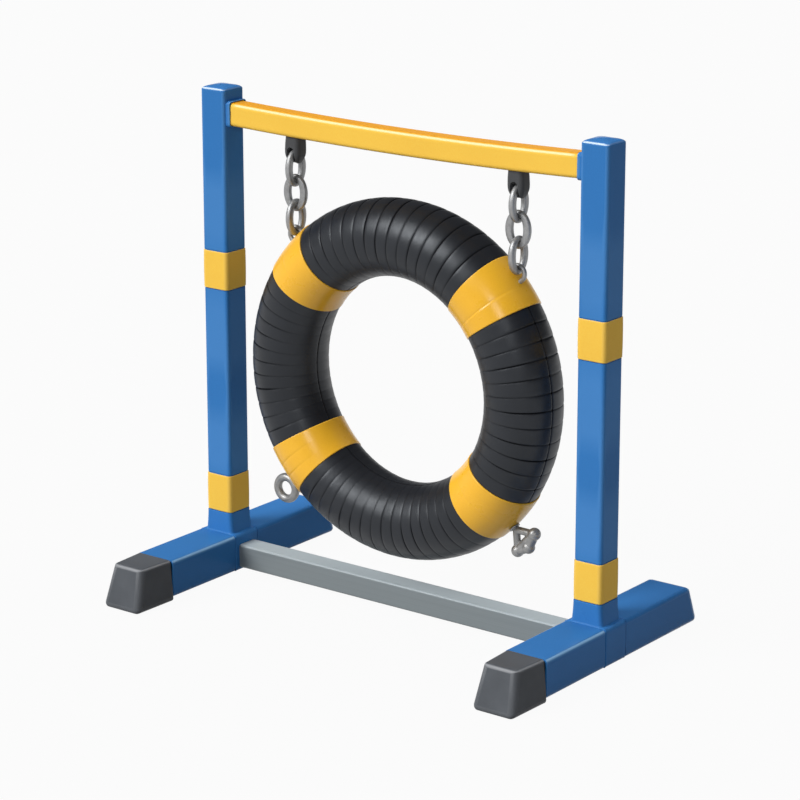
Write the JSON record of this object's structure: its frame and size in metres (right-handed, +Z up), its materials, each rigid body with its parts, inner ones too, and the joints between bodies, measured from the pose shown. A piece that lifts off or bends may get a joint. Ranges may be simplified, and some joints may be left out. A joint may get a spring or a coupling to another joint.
{
  "type": "agility tyre jump",
  "caption": "Free-standing dog agility jump: a ribbed ring with coloured couplers hangs on short chains from a crossbar between posts on long feet.",
  "frame": {"origin": "on the ground at the middle of the feet's footprint", "axes": "+X along the crossbar to the right seen from the front, -Y out of the front, where the rubber toes are, +Z up"},
  "size_m": [0.8658, 0.5488, 0.872],
  "materials": {
    "post_blue": "satin blue square tube with a soft sheen on its rounded corners",
    "foot_blue": "satin moulded blue plastic",
    "band_yellow": "satin yellow band wrapped round the post",
    "bar_yellow": "satin yellow tube",
    "hanger_grey": "dark grey moulded plastic",
    "rail_silver": "satin mill finish, fine lines along its length",
    "toe_rubber": "dark grey moulded rubber with rounded edges",
    "chain_steel": "dull galvanised steel",
    "hose_black": "semi-matt black rubber, grooved between its ribs",
    "coupler_yellow": "satin yellow moulded plastic with faint creases round the tube",
    "hardware_zinc": "bright zinc plate"
  },
  "bodies": {
    "frame": {"left_post": "post_blue", "right_post": "post_blue", "left_post_cap": "post_blue", "right_post_cap": "post_blue", "left_upper_band": "band_yellow", "left_lower_band": "band_yellow", "right_upper_band": "band_yellow", "right_lower_band": "band_yellow", "crossbar": "bar_yellow", "left_bar_cup": "foot_blue", "right_bar_cup": "foot_blue", "cup_screws": "hardware_zinc", "left_hanger": "hanger_grey", "right_hanger": "hanger_grey", "hanger_screws": "hardware_zinc", "hanger_inserts": "hardware_zinc", "stretcher": "rail_silver", "left_hub": "foot_blue", "right_hub": "foot_blue", "left_front_leg": "foot_blue", "right_front_leg": "foot_blue", "left_rear_leg": "foot_blue", "right_rear_leg": "foot_blue", "left_toe": "toe_rubber", "right_toe": "toe_rubber", "rear_pads": "toe_rubber", "base_screws": "hardware_zinc", "post_screws": "hardware_zinc"},
    "left_link_1": {"left_link_1": "chain_steel"},
    "left_link_2": {"left_link_2": "chain_steel"},
    "left_link_3": {"left_link_3": "chain_steel"},
    "right_link_1": {"right_link_1": "chain_steel"},
    "right_link_2": {"right_link_2": "chain_steel"},
    "right_link_3": {"right_link_3": "chain_steel"},
    "tyre": {"top_hose": "hose_black", "right_hose": "hose_black", "bottom_hose": "hose_black", "left_hose": "hose_black", "upper_left_coupler": "coupler_yellow", "upper_right_coupler": "coupler_yellow", "lower_left_coupler": "coupler_yellow", "lower_right_coupler": "coupler_yellow", "left_staple": "chain_steel", "right_staple": "chain_steel", "tie_ring": "chain_steel", "tie_triangle": "chain_steel", "stud_washers": "hardware_zinc", "stud_nuts": "hardware_zinc"}
  },
  "joints": [
    {"name": "left_link_1_swing", "type": "hinge", "parent": "frame", "child": "left_link_1", "pos_m": [-0.22968, 0.01722, 0.76086], "axis": [1, 0, 0], "range_deg": [-35, 35]},
    {"name": "left_link_2_swing", "type": "hinge", "parent": "left_link_1", "child": "left_link_2", "pos_m": [-0.22968, 0.01722, 0.73036], "axis": [1, 0, 0], "range_deg": [-20, 20]},
    {"name": "left_link_3_swing", "type": "hinge", "parent": "left_link_2", "child": "left_link_3", "pos_m": [-0.22968, 0.01722, 0.67636], "axis": [1, 0, 0], "range_deg": [-20, 20]},
    {"name": "right_link_1_swing", "type": "hinge", "parent": "frame", "child": "right_link_1", "pos_m": [0.22968, 0.01722, 0.76086], "axis": [1, 0, 0], "range_deg": [-35, 35]},
    {"name": "right_link_2_swing", "type": "hinge", "parent": "right_link_1", "child": "right_link_2", "pos_m": [0.22968, 0.01722, 0.73036], "axis": [1, 0, 0], "range_deg": [-20, 20]},
    {"name": "right_link_3_swing", "type": "hinge", "parent": "right_link_2", "child": "right_link_3", "pos_m": [0.22968, 0.01722, 0.67636], "axis": [1, 0, 0], "range_deg": [-20, 20]},
    {"name": "tyre_swing", "type": "hinge", "parent": "left_link_3", "child": "tyre", "pos_m": [-0.22968, 0.01722, 0.64386], "axis": [1, 0, 0], "range_deg": [-35, 35]}
  ],
  "couplings": [
    {"joint": "right_link_1_swing", "follows": "left_link_1_swing", "ratio": 1},
    {"joint": "right_link_2_swing", "follows": "left_link_2_swing", "ratio": 1},
    {"joint": "right_link_3_swing", "follows": "left_link_3_swing", "ratio": 1}
  ]
}
